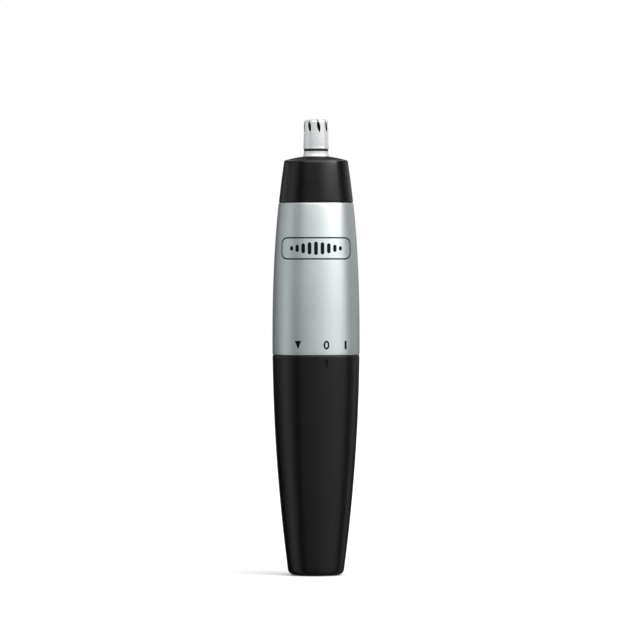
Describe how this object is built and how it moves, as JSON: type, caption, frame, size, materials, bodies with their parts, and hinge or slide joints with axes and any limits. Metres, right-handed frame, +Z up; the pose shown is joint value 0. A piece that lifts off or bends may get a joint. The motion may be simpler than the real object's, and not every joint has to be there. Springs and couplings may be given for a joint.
{
  "type": "nose hair trimmer",
  "caption": "Upright battery nose hair trimmer: slotted steel cutter tube on a black push-on head, silver grip, and a black tapered twist base that switches it and holds the cell.",
  "frame": {"origin": "centre of the foot, on the surface that the trimmer stands on", "axes": "+Z up along the trimmer's axis to the cutter, -Y the front, where the switch marks are, +X to the right seen from the front"},
  "size_m": [0.025, 0.025, 0.13],
  "materials": {
    "grip_silver": "satin silver lacquer on plastic",
    "case_black": "smooth semi-gloss black",
    "cutter_chrome": "polished",
    "blade_steel": "ground",
    "collar_steel": "turned, satin",
    "seal_rubber": "matte",
    "frame_plastic": "fine moulded",
    "switch_plastic": "fine moulded grey",
    "drive_plastic": "natural acetal",
    "spring_steel": "bright wire",
    "contact_nickel": "nickel plated strip",
    "contact_bronze": "phosphor bronze",
    "bearing_bronze": "sintered bronze",
    "motor_steel": "zinc plated",
    "motor_plastic": "white moulded",
    "magnet": "sintered ferrite",
    "shaft_steel": "ground",
    "core_steel": "stacked laminations",
    "copper": "enamelled copper",
    "cell_can": "nickel plated",
    "cell_core": "packed powder",
    "cell_sleeve": "printed film, two plain bands"
  },
  "bodies": {
    "base": {"base_shell": "case_black", "base_contact": "contact_nickel", "battery_spring": "spring_steel"},
    "handle": {"grip_shell": "grip_silver", "inner_frame": "frame_plastic", "head_seal": "seal_rubber", "base_seal": "seal_rubber", "shaft_seal": "seal_rubber", "contact_carrier": "frame_plastic", "positive_contact": "contact_nickel", "negative_strip": "contact_nickel", "motor_can": "motor_steel", "motor_end_cap": "motor_plastic", "motor_magnets": "magnet", "motor_front_bearing": "bearing_bronze", "motor_rear_bearing": "bearing_bronze", "motor_terminals": "contact_nickel", "motor_brushes": "contact_bronze", "motor_screws": "motor_steel"},
    "rotor": {"motor_shaft": "shaft_steel", "armature_core": "core_steel", "armature_windings": "copper", "commutator": "copper", "drive_coupling": "drive_plastic"},
    "switch": {"switch_ring": "switch_plastic", "switch_wiper": "contact_bronze"},
    "battery": {"battery_can": "cell_can", "battery_core": "cell_core", "battery_seal": "seal_rubber", "battery_end_plate": "contact_nickel", "battery_sleeve": "cell_sleeve"},
    "head": {"head_cone": "case_black", "outer_cutter": "cutter_chrome", "cutter_ring": "seal_rubber", "cutter_collar": "collar_steel", "head_retainer": "frame_plastic", "cutter_spring": "spring_steel"},
    "float": {"thrust_washer": "drive_plastic"},
    "cutter": {"inner_cutter": "blade_steel", "cutter_spindle": "drive_plastic"}
  },
  "joints": [
    {"name": "motor_spin", "type": "hinge", "parent": "handle", "child": "rotor", "pos_m": [0, 0, 0.085], "axis": [0, 0, 1], "continuous": true},
    {"name": "base_twist", "type": "hinge", "parent": "switch", "child": "handle", "pos_m": [0, 0, 0.0564], "axis": [0, 0, -1], "range_deg": [-38.2, 28.5]},
    {"name": "base_pull", "type": "slide", "parent": "base", "child": "switch", "axis": [0, 0, 1], "range_m": [0, 0.08]},
    {"name": "battery_slide", "type": "slide", "parent": "handle", "child": "battery", "axis": [0, 0, -1], "range_m": [0, 0.0216]},
    {"name": "head_lift", "type": "slide", "parent": "handle", "child": "head", "axis": [0, 0, 1], "range_m": [0, 0.02]},
    {"name": "cutter_float", "type": "slide", "parent": "head", "child": "float", "axis": [0, 0, -1], "range_m": [0, 0.0008], "stiffness_N_per_m": 300, "deforming": ["cutter_spring"]},
    {"name": "cutter_spin", "type": "hinge", "parent": "float", "child": "cutter", "pos_m": [0, 0, 0.1217], "axis": [0, 0, 1], "continuous": true}
  ],
  "couplings": [
    {"joint": "battery_slide", "follows": "base_pull", "ratio": 0.27},
    {"joint": "cutter_spin", "follows": "motor_spin", "ratio": 1}
  ]
}
